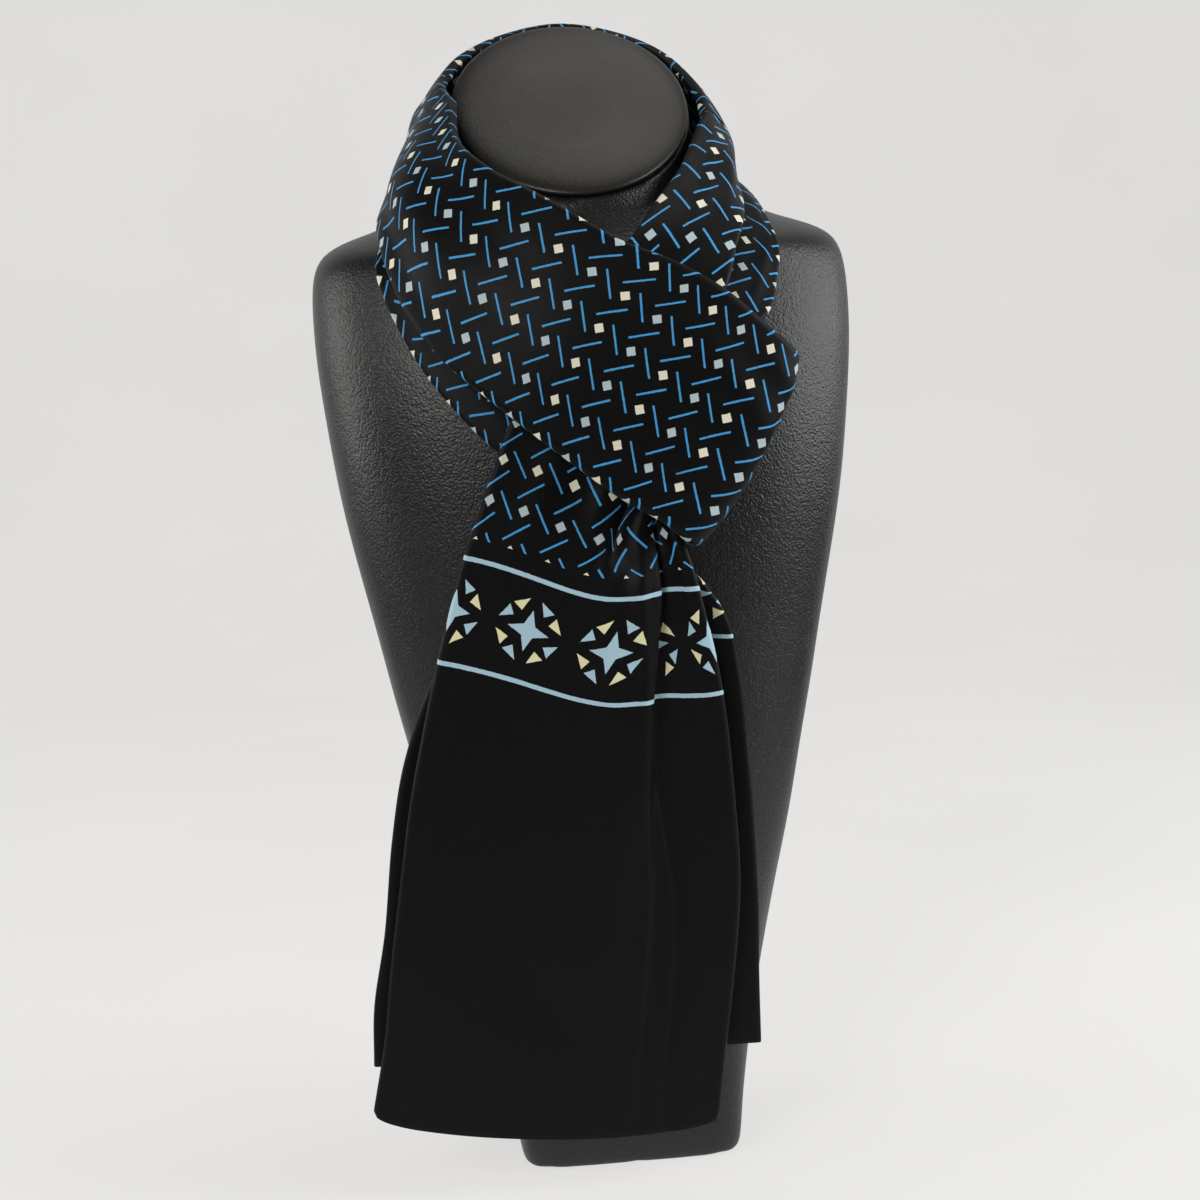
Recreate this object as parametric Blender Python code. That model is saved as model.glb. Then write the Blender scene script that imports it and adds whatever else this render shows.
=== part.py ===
"""Printed scarf, folded in half round the neck of a small display bust, both ends through its loop.

Metres, +Z up. The origin is the middle of the bust's flat foot; the front faces -Y.
The tables are in millimetres, with heights from a line HEIGHT_ZERO above the foot's underside.
"""
import bpy
import bmesh
from math import cos, pi, sin, sqrt
from mathutils import Vector

MM = 0.001
HEIGHT_ZERO = 6.0

# Driving sizes, mm
CLOTH_WALL = 2.0          # the doubled cloth of the scarf, both faces and the air between
SEAM_GAP = 0.8            # between two stretches of the scarf where they follow each other
FORM_SIDES = 40           # points round the bust
NECK_HALF_WIDTH = 57.0
NECK_FRONT_Y = -32.0
NECK_BACK_Y = 78.0
CAP_FRONT_Z = 441.0       # lowest point of the slanted neck cut
CAP_BACK_Z = 537.0        # highest point of the slanted neck cut
CAP_SEAM = 0.4            # open line between the neck and its cap
CAP_DOME = 2.0

# Bust, one row for each ring from the foot up: half width, y and z of the front, y and z of the
# back, and the power of its rounded oval
FORM_COLUMNS = "half_width front_y front_z back_y back_z power".split()
FORM_RINGS = [
    (51.0, -39.5, -6.0, 40.0, -6.0, 3.4),
    (53.5, -42.0, -3.5, 43.0, -3.5, 3.4),
    (55.5, -43.0, 12.0, 44.0, 12.0, 3.3),
    (59.0, -43.5, 30.0, 46.0, 30.0, 3.2),
    (64.5, -44.0, 60.0, 49.0, 60.0, 3.0),
    (71.0, -45.0, 90.0, 52.0, 90.0, 2.8),
    (79.0, -47.0, 121.0, 56.0, 121.0, 2.5),
    (87.0, -48.0, 150.0, 60.0, 150.0, 2.5),
    (94.0, -50.0, 185.0, 64.0, 185.0, 2.5),
    (100.5, -52.0, 213.0, 67.0, 213.0, 2.5),
    (106.0, -54.0, 242.0, 70.0, 242.0, 2.5),
    (113.7, -57.0, 278.0, 73.0, 278.0, 2.5),
    (120.0, -58.5, 310.0, 75.0, 310.0, 2.5),
    (124.0, -58.5, 345.0, 76.0, 345.0, 2.5),
    (127.0, -56.0, 372.0, 77.0, 375.0, 2.5),
    (127.5, -52.0, 393.0, 78.0, 400.0, 2.5),
    (127.0, -49.0, 407.0, 79.0, 418.0, 2.4),
    (123.5, -47.0, 415.0, 79.5, 433.0, 2.4),
    (114.0, -44.5, 419.0, 80.0, 441.0, 2.3),
    (98.0, -42.0, 421.5, 80.0, 447.0, 2.2),
    (83.0, -39.0, 425.5, 80.0, 456.0, 2.1),
    (70.0, -36.5, 430.0, 79.5, 472.0, 2.05),
    (61.0, -34.0, 434.0, 79.0, 487.0, 2.0),
    (58.0, -32.8, 437.5, 78.5, 508.0, 2.0),
    (NECK_HALF_WIDTH, NECK_FRONT_Y, CAP_FRONT_Z, NECK_BACK_Y, CAP_BACK_Z, 2.0),
]

# Each stretch of the scarf has a row for each section: the a edge, the b edge, how far the middle
# stands out (crown) and hangs below its edges (sag), the radius of the rolled edges (roll), how far
# the cloth is turned under (turn), and the place (part of the width) and depth of its deepest fold
CLOTH_COLUMNS = "ax ay az bx by bz crown sag roll turn place depth".split()

# Over the left shoulder and across the front, a is the edge next to the neck
LOOP_FRONT = [
    (-61.0, 24.0, 502.0, -79.0, 28.0, 468.0, 4.0, 0.0, 2.0, 7.0, 0.5, 0.0),
    (-57.0, 6.0, 494.0, -87.0, 8.0, 451.0, 6.5, 0.0, 2.2, 8.0, 0.5, 0.0),
    (-57.0, -8.0, 486.0, -91.5, -8.0, 441.5, 7.0, 0.0, 2.0, 9.0, 0.5, 0.0),
    (-57.0, -22.0, 477.0, -93.5, -29.0, 432.8, 7.0, 0.0, 2.0, 9.0, 0.5, 0.0),
    (-55.0, -38.0, 468.0, -91.5, -48.0, 420.0, 7.0, 0.0, 2.2, 10.0, 0.5, 0.0),
    (-49.0, -56.0, 459.0, -87.5, -63.0, 405.5, 6.0, 0.0, 2.7, 11.0, 0.5, 0.0),
    (-40.0, -70.0, 450.0, -81.5, -74.5, 391.5, 6.0, 0.0, 3.2, 12.0, 0.5, 0.0),
    (-28.0, -82.0, 441.5, -69.5, -85.5, 373.0, 6.0, 0.0, 3.4, 13.0, 0.5, 0.0),
    (-12.0, -91.0, 430.5, -54.0, -93.5, 358.0, 6.0, 0.0, 3.4, 14.0, 0.5, 0.0),
    (8.0, -97.0, 417.0, -36.0, -98.5, 342.0, 6.0, 0.0, 3.4, 14.0, 0.5, 0.0),
    (32.0, -100.0, 406.0, -16.0, -100.0, 325.0, 5.0, -1.0, 3.4, 14.0, 0.5, 0.0),
    (53.0, -100.0, 393.0, 4.0, -100.0, 309.0, 4.0, -3.0, 3.4, 14.0, 0.5, 0.0),
    (71.0, -97.0, 377.0, 22.0, -98.0, 297.5, 2.0, -5.0, 3.2, 13.0, 0.5, 0.0),
    (80.5, -93.0, 369.0, 32.0, -94.0, 289.0, 1.0, -7.0, 2.8, 12.0, 0.5, 0.0),
    (84.0, -86.0, 366.0, 35.5, -86.0, 286.0, 0.0, -8.0, 2.4, 10.0, 0.5, 0.0),
    (81.0, -78.5, 367.0, 32.5, -78.5, 287.0, 0.0, -7.0, 2.2, 9.0, 0.5, 0.0),
    (75.0, -73.0, 368.5, 26.0, -73.5, 289.0, 0.0, -6.0, 2.2, 9.0, 0.5, 0.0),
    (66.0, -70.7, 371.0, 18.0, -71.5, 294.5, 0.0, -4.0, 2.2, 9.0, 0.5, 0.0),
]

# The loop's other layer: from the fold across the chest, over the left shoulder to the nape
LOOP_UNDER = [
    LOOP_FRONT[-1],
    (48.0, -69.5, 377.0, 2.0, -71.0, 307.0, 0.0, -2.0, 2.2, 9.0, 0.5, 0.0),
    (20.0, -69.0, 388.0, -20.0, -70.0, 317.0, 0.0, 0.0, 2.2, 9.0, 0.5, 0.0),
    (-8.0, -67.0, 400.0, -45.0, -68.5, 330.0, 0.0, 0.0, 2.2, 9.0, 0.5, 0.0),
    (-28.0, -62.5, 413.0, -67.5, -62.5, 355.0, 0.0, 0.0, 2.2, 9.0, 0.5, 0.0),
    (-42.0, -55.0, 426.0, -80.5, -56.0, 375.5, 0.0, 0.0, 2.0, 8.0, 0.5, 0.0),
    (-52.0, -43.5, 437.0, -91.5, -50.0, 401.0, 0.0, 0.0, 1.5, 7.0, 0.5, 0.0),
    (-56.0, -28.5, 447.0, -94.0, -38.0, 418.0, 0.0, 0.0, 1.3, 6.0, 0.5, 0.0),
    (-58.5, -12.0, 457.5, -84.5, -12.5, 438.0, 0.0, 0.0, 1.3, 6.0, 0.5, 0.0),
    (-62.0, 6.0, 467.0, -80.5, 8.0, 446.0, 1.0, 0.0, 1.5, 5.0, 0.5, 0.0),
    (-64.0, 26.0, 472.0, -78.0, 30.0, 452.0, 1.0, 0.0, 1.6, 5.0, 0.5, 0.0),
    (-61.5, 44.0, 476.0, -76.0, 50.0, 457.0, 1.0, 0.0, 1.7, 5.0, 0.5, 0.0),
    (-50.0, 68.0, 484.0, -60.0, 75.0, 461.0, 1.0, 0.0, 2.0, 7.0, 0.5, 0.0),
    (-30.0, 83.0, 489.0, -35.0, 90.0, 462.0, 1.0, 0.0, 2.2, 8.0, 0.5, 0.0),
    (0.0, 89.0, 492.0, 0.0, 95.0, 463.0, 1.0, 0.0, 2.2, 8.0, 0.5, 0.0),
]

# The upper layer behind the neck, from the pinch on the left to the crease on the right
WRAP_BACK = [
    LOOP_FRONT[0],
    (-59.5, 43.0, 510.5, -78.0, 50.0, 474.0, 5.0, 0.0, 2.2, 8.0, 0.5, 0.0),
    (-49.0, 66.0, 525.0, -65.0, 80.0, 482.0, 6.0, 0.0, 2.6, 9.0, 0.5, 0.0),
    (-28.0, 82.0, 536.5, -37.0, 98.0, 487.0, 6.0, 0.0, 3.0, 10.0, 0.5, 0.0),
    (0.0, 88.5, 542.0, 0.0, 103.5, 489.0, 6.0, 0.0, 3.0, 10.0, 0.5, 0.0),
    (27.0, 84.0, 537.0, 37.0, 97.5, 486.0, 6.0, 0.0, 3.0, 10.0, 0.5, 0.0),
    (50.0, 69.0, 524.0, 63.0, 79.0, 479.0, 5.0, 0.0, 2.6, 9.0, 0.5, 0.0),
    (64.0, 46.0, 503.5, 77.0, 50.0, 469.0, 4.0, 0.0, 2.2, 8.0, 0.5, 0.0),
    (66.0, 22.0, 486.0, 78.0, 24.0, 462.5, 4.0, 0.0, 2.0, 7.0, 0.5, 0.0),
]

# From the crease down the right of the neck, under the loop's edge
NECK_UPPER = [
    WRAP_BACK[-1],
    (61.0, 4.0, 477.0, 75.5, 4.0, 456.5, 5.0, 0.0, 2.2, 7.0, 0.5, 0.0),
    (54.0, -15.0, 466.0, 73.0, -16.5, 448.0, 6.0, 0.0, 2.4, 8.0, 0.5, 0.0),
    (45.0, -35.0, 453.0, 72.0, -37.5, 436.0, 5.0, 0.0, 2.4, 9.0, 0.5, 0.0),
    (32.0, -56.0, 438.0, 68.0, -57.5, 426.0, 4.0, 0.0, 2.4, 9.0, 0.5, 0.0),
    (18.0, -75.0, 421.0, 62.0, -73.0, 414.0, 3.0, 0.0, 2.2, 9.0, 0.5, 0.0),
    (2.0, -86.0, 403.0, 56.0, -84.0, 398.0, 1.0, 0.0, 2.0, 9.0, 0.5, 0.0),
    (-10.0, -88.0, 389.0, 48.0, -87.0, 385.0, 0.0, 0.0, 1.8, 8.0, 0.62, 0.0),
]

# From the nape over the right shoulder, under the stretch above
NECK_LOWER = [
    LOOP_UNDER[-1],
    (30.0, 83.0, 489.0, 35.0, 90.0, 462.0, 1.0, 0.0, 2.2, 8.0, 0.5, 0.0),
    (50.0, 68.0, 484.0, 60.0, 75.0, 461.0, 1.0, 0.0, 2.0, 7.0, 0.5, 0.0),
    (62.0, 46.0, 476.0, 76.0, 50.0, 456.0, 1.0, 0.0, 1.8, 6.0, 0.5, 0.0),
    (64.5, 24.0, 465.5, 81.0, 24.0, 449.0, 1.0, 0.0, 1.8, 6.0, 0.5, 0.0),
    (63.0, 2.0, 454.0, 83.0, 1.0, 442.5, 1.0, 0.0, 1.8, 6.0, 0.5, 0.0),
    (61.0, -18.0, 441.5, 84.0, -25.0, 431.0, 1.0, 0.0, 1.8, 6.0, 0.5, 0.0),
    (60.0, -37.5, 429.0, 85.5, -45.5, 415.0, 1.0, 0.0, 1.8, 6.0, 0.5, 0.0),
    (55.0, -55.0, 416.0, 82.0, -57.0, 400.0, 1.0, 0.0, 1.8, 6.0, 0.5, 0.0),
    (44.0, -71.0, 399.0, 76.0, -69.0, 386.0, 0.0, 0.0, 1.8, 6.0, 0.5, 0.0),
    (26.0, -79.5, 382.0, 62.0, -78.5, 373.0, 0.0, 0.0, 1.8, 7.0, 0.5, 0.0),
]

# The upper end, from behind the loop down to its hem, a is its left edge
TAIL_FRONT = [
    NECK_UPPER[-1],
    (-28.0, -86.5, 362.0, 38.0, -86.0, 352.0, 0.0, 0.0, 1.8, 8.0, 0.64, 1.0),
    (-41.0, -85.5, 341.0, 32.0, -85.5, 322.0, 0.0, 2.0, 1.8, 8.0, 0.7, 3.0),
    (-50.0, -87.0, 320.0, 25.0, -86.5, 298.0, 0.0, 5.0, 1.7, 6.0, 0.78, 4.5),
    (-57.5, -87.5, 302.0, 33.0, -87.0, 281.0, 0.0, 8.0, 1.8, 4.5, 0.82, 5.0),
    (-63.5, -87.0, 286.0, 37.0, -86.5, 265.0, 1.0, 10.0, 2.2, 4.5, 0.84, 6.0),
    (-77.0, -81.0, 243.0, 45.5, -80.0, 221.0, 2.0, 11.0, 2.4, 8.0, 0.76, 6.0),
    (-91.5, -75.0, 187.0, 49.5, -74.0, 170.0, 2.0, 10.0, 2.4, 10.0, 0.74, 5.0),
    (-99.5, -71.0, 146.0, 50.0, -70.0, 130.0, 2.0, 10.0, 2.4, 10.0, 0.74, 3.0),
    (-107.0, -68.5, 103.0, 44.0, -68.0, 88.0, 2.0, 10.0, 2.4, 10.0, 0.74, 1.5),
    (-112.0, -67.0, 70.0, 38.0, -67.0, 55.0, 2.0, 10.0, 2.4, 10.0, 0.74, 1.0),
    (-119.0, -66.0, 40.0, 32.0, -66.0, 24.0, 2.0, 12.0, 2.4, 10.0, 0.74, 0.5),
]

# The lower end, which hangs behind the upper one
TAIL_BACK = [
    NECK_LOWER[-1],
    (-6.0, -79.0, 352.0, 40.0, -79.0, 340.0, 0.0, 0.0, 1.8, 8.0, 0.5, 0.0),
    (-30.0, -78.5, 320.0, 23.0, -78.5, 309.0, 0.0, 0.0, 1.6, 8.0, 0.5, 0.0),
    (-38.0, -79.2, 305.0, 14.5, -79.2, 295.0, 0.0, 0.0, 1.3, 8.0, 0.5, 0.0),
    (-45.0, -77.0, 292.0, 33.5, -77.0, 276.0, 0.0, 0.0, 1.6, 8.0, 0.5, 0.0),
    (-60.0, -70.5, 262.0, 50.0, -70.5, 252.0, 0.0, 0.0, 1.8, 8.0, 0.5, 0.0),
    (-80.0, -66.0, 232.0, 55.5, -66.0, 224.0, 0.0, 0.0, 1.8, 8.0, 0.5, 0.0),
    (-95.0, -62.5, 196.0, 58.0, -62.5, 192.0, 0.0, 0.0, 1.8, 8.0, 0.5, 0.0),
    (-103.0, -61.0, 160.0, 59.5, -60.5, 158.0, 0.0, 0.0, 1.8, 8.0, 0.5, 0.0),
    (-109.0, -59.0, 118.0, 60.0, -59.0, 118.0, 0.0, 0.0, 1.8, 8.0, 0.5, 0.0),
    (-116.0, -58.0, 84.0, 59.0, -58.0, 84.0, 0.0, 0.0, 1.8, 8.0, 0.5, 0.0),
    (-118.0, -57.5, 56.0, 58.5, -57.5, 53.0, 0.0, 0.0, 1.8, 8.0, 0.5, 0.0),
]

# Name, table, the sections of its neighbours that it runs on to, sections built, outward side
STRETCHES = [
    ("loop_front", LOOP_FRONT, WRAP_BACK[1], LOOP_UNDER[1], 32, 1.0),
    ("loop_under", LOOP_UNDER, LOOP_FRONT[-2], NECK_LOWER[1], 26, -1.0),
    ("wrap_back", WRAP_BACK, LOOP_FRONT[1], NECK_UPPER[1], 20, -1.0),
    ("neck_upper", NECK_UPPER, WRAP_BACK[-2], TAIL_FRONT[1], 18, -1.0),
    ("neck_lower", NECK_LOWER, LOOP_UNDER[-2], TAIL_BACK[1], 22, -1.0),
    ("tail_front", TAIL_FRONT, NECK_UPPER[-2], None, 26, -1.0),
    ("tail_back", TAIL_BACK, NECK_LOWER[-2], None, 22, -1.0),
]

# Where the points of a section lie, as parts of its width up to the fold and past it
PLAIN_STOPS = ((0.0, 0.33, 0.67, 1.0), (0.33, 0.67, 1.0))
FOLD_STOPS = ((0.0, 0.17, 0.34, 0.51, 0.68, 0.83, 0.94, 1.0), (0.08, 0.22, 0.42, 0.7, 1.0))
STEP = 0.1                # how far along a table the run of the cloth is read, in rows
FOLD_STEEP = 0.035
FOLD_GENTLE = 0.06


def make_material(name, color, roughness, metallic=0.0):
    material = bpy.data.materials.new(name)
    material.use_nodes = True
    shader = material.node_tree.nodes["Principled BSDF"]
    shader.inputs["Base Color"].default_value = (*color, 1.0)
    shader.inputs["Roughness"].default_value = roughness
    shader.inputs["Metallic"].default_value = metallic
    return material


def make_object(name, points, faces, material):
    mesh = bpy.data.meshes.new(name)
    lift = Vector((0, 0, HEIGHT_ZERO))
    mesh.from_pydata([(Vector(point) + lift) * MM for point in points], [], faces)
    shaper = bmesh.new()
    shaper.from_mesh(mesh)
    bmesh.ops.recalc_face_normals(shaper, faces=shaper.faces)
    shaper.to_mesh(mesh)
    shaper.free()
    mesh.materials.append(material)
    piece = bpy.data.objects.new(name, mesh)
    bpy.context.scene.collection.objects.link(piece)
    return piece


def form_ring(ring, sides):
    """Points of one rounded oval, tilted from its front height to its back height."""
    half_width, front_y, front_z, back_y, back_z, power = ring
    middle_y = (front_y + back_y) / 2
    half_depth = (back_y - front_y) / 2
    points = []
    for index in range(sides):
        angle = 2 * pi * index / sides
        across = sin(angle)
        along = -cos(angle)
        x = half_width * abs(across) ** (2 / power) * (1 if across > 0 else -1)
        lean = abs(along) ** (2 / power) * (1 if along > 0 else -1)
        z = front_z + (back_z - front_z) * (1 + lean) / 2
        points.append((x, middle_y + half_depth * lean, z))
    return points


def stack_faces(rings, sides):
    """Side faces between rings that follow each other, and an end face on each end."""
    faces = []
    for level in range(rings - 1):
        for index in range(sides):
            after = (index + 1) % sides
            low = level * sides
            high = low + sides
            faces.append((low + index, low + after, high + after, high + index))
    faces.append(tuple(reversed(range(sides))))
    faces.append(tuple((rings - 1) * sides + index for index in range(sides)))
    return faces


def build_form_body(material):
    points = []
    for ring in FORM_RINGS:
        points += form_ring(ring, FORM_SIDES)
    return make_object("form_body", points, stack_faces(len(FORM_RINGS), FORM_SIDES), material)


def build_form_cap(material):
    """The oval lid on the slanted neck cut: a thin rounded rim and a low dome."""
    slope = (CAP_BACK_Z - CAP_FRONT_Z) / (NECK_BACK_Y - NECK_FRONT_Y)
    length = sqrt(1 + slope * slope)
    normal = Vector((0, -slope / length, 1 / length))
    middle_y = (NECK_FRONT_Y + NECK_BACK_Y) / 2
    middle_z = (CAP_FRONT_Z + CAP_BACK_Z) / 2
    rim = [(1.0, 0.0), (0.4, 0.5), (0.4, 2.0), (1.0, 3.0), (2.6, 3.8)]
    dome = [(0.65, 0.45), (0.3, 0.85)]
    levels = [(1 - inset / NECK_HALF_WIDTH, CAP_SEAM + height) for inset, height in rim]
    top = CAP_SEAM + rim[-1][1]
    levels += [(part, top + CAP_DOME * rise) for part, rise in dome]
    points = []
    for part, height in levels:
        half_width = NECK_HALF_WIDTH * part
        half_depth = (NECK_BACK_Y - NECK_FRONT_Y) / 2 * part
        ring = (half_width, middle_y - half_depth, middle_z - half_depth * slope,
                middle_y + half_depth, middle_z + half_depth * slope, 2.0)
        for point in form_ring(ring, FORM_SIDES):
            points.append(Vector(point) + normal * height)
    return make_object("form_neck_cap", points, stack_faces(len(levels), FORM_SIDES), material)


def between(rows, where):
    """One section between the rows of a table, on a smooth curve through them."""
    index = min(int(where), len(rows) - 3)
    part = where - index
    section = {}
    for column, p, q, r, s in zip(CLOTH_COLUMNS, *rows[index - 1:index + 3]):
        bend = 2 * p - 5 * q + 4 * r - s
        twist = 3 * q - p - 3 * r + s
        section[column] = q + 0.5 * part * (r - p + part * (bend + part * twist))
    return section


def run_on(end, inner):
    """The section that a free end would reach if it went on straight."""
    return tuple(2 * here - there for here, there in zip(end, inner))


def fold_depth(distance):
    """How deep the deepest fold is at a distance, in widths, from its lowest line."""
    spread = FOLD_STEEP if distance < 0 else FOLD_GENTLE
    return 1 / (1 + (distance / spread) ** 2)


def section_line(section, width, stops):
    """The middle of the cloth across one section, as pairs of place across and height."""
    roll = section["roll"]
    turn = max(min(section["turn"], 0.4 * width), roll + 0.5)
    place = section["place"]
    before, beyond = stops
    parts = [place * stop for stop in before]
    parts += [place + (1 - place) * stop for stop in beyond]
    line = [(turn, -2 * roll), (roll, -2 * roll)]
    for step in (0.25, 0.5, 0.75):
        line.append((roll - roll * sin(pi * step), -roll - roll * cos(pi * step)))
    for part in parts:
        line.append((roll + (width - 2 * roll) * part, -section["depth"] * fold_depth(part - place)))
    for step in (0.75, 0.5, 0.25):
        line.append((width - roll + roll * sin(pi * step), -roll - roll * cos(pi * step)))
    line += [(width - roll, -2 * roll), (width - turn, -2 * roll)]
    return [(u, d + section["crown"] * sin(pi * u / width)) for u, d in line]


def wall_loop(line):
    """The closed outline of a wall of cloth round its middle line."""
    outer = []
    inner = []
    for index, (u, d) in enumerate(line):
        u0, d0 = line[max(index - 1, 0)]
        u1, d1 = line[min(index + 1, len(line) - 1)]
        reach = sqrt((u1 - u0) ** 2 + (d1 - d0) ** 2)
        side = (-(d1 - d0) / reach * CLOTH_WALL / 2, (u1 - u0) / reach * CLOTH_WALL / 2)
        outer.append((u + side[0], d + side[1]))
        inner.append((u - side[0], d - side[1]))
    return outer + inner[::-1]


def edges(section):
    near = Vector((section["ax"], section["ay"], section["az"]))
    far = Vector((section["bx"], section["by"], section["bz"]))
    return near, far


def build_stretch(name, rows, before, after, count, side, material):
    """Loft one stretch of the scarf through its sections."""
    folded = any(row[CLOTH_COLUMNS.index("depth")] > 0 for row in rows)
    stops = FOLD_STOPS if folded else PLAIN_STOPS
    before = before or run_on(rows[0], rows[1])
    after = after or run_on(rows[-1], rows[-2])
    rows = [before, *rows, after]
    points = []
    for index in range(count):
        where = 1 + (len(rows) - 3) * index / (count - 1)
        section = between(rows, where)
        near, far = edges(section)
        back = edges(between(rows, max(where - STEP, 1)))
        front = edges(between(rows, min(where + STEP, len(rows) - 2)))
        onward = (front[0] + front[1] - back[0] - back[1]).normalized()
        width = (far - near).length
        across = (far - near).normalized()
        outward = (across.cross(onward) * side).normalized()
        down = Vector((0, 1, 0)).cross(across)
        shift = Vector()
        if index in (0, count - 1):
            shift = onward * SEAM_GAP / 2 * (1 if index == 0 else -1)
        for u, d in wall_loop(section_line(section, width, stops)):
            low = down * section["sag"] * sqrt(max(sin(pi * u / width), 0))
            points.append(near + shift + across * u + outward * d + low)
    sides = len(points) // count
    faces = stack_faces(count, sides)[:-2]
    for start in (0, (count - 1) * sides):
        for index in range(sides // 2 - 1):
            mate = sides - 1 - index
            faces.append((start + index, start + index + 1, start + mate - 1, start + mate))
    return make_object(name, points, faces, material)


def main():
    for item in list(bpy.data.objects):
        bpy.data.objects.remove(item, do_unlink=True)
    leather = make_material("black_leatherette", (0.055, 0.055, 0.056), 0.45)
    lid = make_material("grey_black_leatherette", (0.06, 0.056, 0.05), 0.5)
    build_form_body(leather)
    build_form_cap(lid)
    for name, rows, before, after, count, side in STRETCHES:
        cloth = make_material("printed_satin_" + name, (0.006, 0.006, 0.008), 0.4)
        build_stretch(name, rows, before, after, count, side, cloth)


main()
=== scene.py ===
"""Printed black satin scarf on a small leatherette display bust: its folds, finishes and light.

The tables of the scarf are in millimetres, with heights from a line HEIGHT_ZERO above the foot of
the bust. Everything else is in metres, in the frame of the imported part: the origin is the middle of
the foot, +Z is up and the front faces -Y.
"""

from math import cos, exp, hypot, pi, radians, sin, sqrt, tanh

import bmesh
import bpy
from mathutils import Matrix, Vector


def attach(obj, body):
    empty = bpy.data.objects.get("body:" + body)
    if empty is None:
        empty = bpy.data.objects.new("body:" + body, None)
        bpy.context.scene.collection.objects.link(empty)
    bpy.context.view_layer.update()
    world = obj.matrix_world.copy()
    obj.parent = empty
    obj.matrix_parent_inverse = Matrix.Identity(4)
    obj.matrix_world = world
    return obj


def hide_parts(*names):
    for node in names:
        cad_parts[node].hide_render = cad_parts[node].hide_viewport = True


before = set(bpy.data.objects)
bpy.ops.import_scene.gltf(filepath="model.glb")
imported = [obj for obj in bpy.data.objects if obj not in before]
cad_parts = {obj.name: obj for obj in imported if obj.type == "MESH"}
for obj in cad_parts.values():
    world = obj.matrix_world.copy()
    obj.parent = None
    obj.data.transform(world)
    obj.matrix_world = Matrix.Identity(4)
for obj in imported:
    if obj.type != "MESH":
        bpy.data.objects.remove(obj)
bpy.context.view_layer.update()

MM = 0.001
HEIGHT_ZERO = 6.0

# ---- The scarf's shape ----

CLOTH_THICKNESS = 0.9     # mm, satin with its rolled edge
ACROSS_POINTS = 124       # points across one section of the scarf
ALONG_SPACING = 2.2       # mm between sections
CORNER_ROUNDS = 4         # times that the corners of a section are cut
PLAIN_DEPTH = 0.2         # mm, a pleat less deep than this is none
EDGE_BEND = 0.4           # mm past the rolled edge where the cloth lies flat
STEP = 0.1                # how far along a table the run of the cloth is read, in rows
STEPS_PER_ROW = 8         # points read between two rows to measure a stretch's length
SAG_POWER = 0.5           # fullness of the curve in which the cloth hangs between its edges
LEAN_SHIFT = 0.5          # how a leaning sag moves its lowest point, and how it narrows
LEAN_POWER = 0.6

# One row for each section: the a edge, the b edge, how far the middle stands out (crown) and hangs
# below its edges (sag), the radius of the rolled edges (roll), how far the cloth is turned under
# (turn), the place (part of the width) and depth of its pleat, how far the pleat is tucked under
# its own edge (tuck, less than nothing for a soft slope that wide), and how far the sag leans to
# the b edge. Columns left out are nothing
CLOTH_COLUMNS = "ax ay az bx by bz crown sag roll turn place depth tuck lean".split()

# Over the left shoulder and across the front to the fold, a is the edge next to the neck
LOOP_FRONT = [
    (-61.0, 24.0, 502.0, -79.0, 28.0, 468.0, 4.0, 0.0, 2.0, 7.0),
    (-57.0, 6.0, 494.0, -87.0, 8.0, 451.0, 6.5, 0.0, 2.2, 8.0),
    (-57.0, -8.0, 486.0, -91.5, -8.0, 441.5, 7.0, 0.0, 2.0, 9.0),
    (-57.0, -22.0, 477.0, -93.5, -29.0, 432.8, 7.0, 0.0, 2.0, 9.0),
    (-55.0, -38.0, 468.0, -91.5, -48.0, 420.0, 7.0, 0.0, 2.2, 10.0),
    (-49.0, -56.0, 459.0, -87.5, -63.0, 405.5, 6.0, 0.0, 2.7, 11.0),
    (-40.0, -70.0, 450.0, -81.5, -74.5, 391.5, 6.0, 0.0, 3.2, 12.0),
    (-28.0, -82.0, 441.5, -69.5, -85.5, 373.0, 6.0, 0.0, 3.4, 13.0),
    (-12.0, -91.0, 430.5, -54.0, -93.5, 358.0, 6.0, 0.0, 3.4, 14.0),
    (8.0, -97.0, 417.0, -36.0, -98.5, 342.0, 6.0, 0.0, 3.4, 14.0),
    (32.0, -100.0, 406.0, -16.0, -100.0, 325.0, 5.0, -1.0, 3.4, 14.0),
    (53.0, -100.0, 393.0, 4.0, -100.0, 309.0, 4.0, -3.0, 3.4, 14.0),
    (71.0, -97.0, 377.0, 22.0, -98.0, 297.5, 2.0, -5.0, 3.2, 13.0),
    (80.5, -93.0, 369.0, 32.0, -94.0, 289.0, 1.0, -7.0, 2.8, 12.0),
    (84.0, -86.0, 366.0, 35.5, -86.0, 286.0, 0.0, -8.0, 2.4, 10.0),
    (81.0, -78.5, 367.0, 32.5, -78.5, 287.0, 0.0, -7.0, 2.2, 9.0),
    (75.0, -73.0, 368.5, 26.0, -73.5, 289.0, 0.0, -6.0, 2.2, 9.0),
    (66.0, -70.7, 371.0, 18.0, -71.5, 294.5, 0.0, -4.0, 2.2, 9.0),
]

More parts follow.
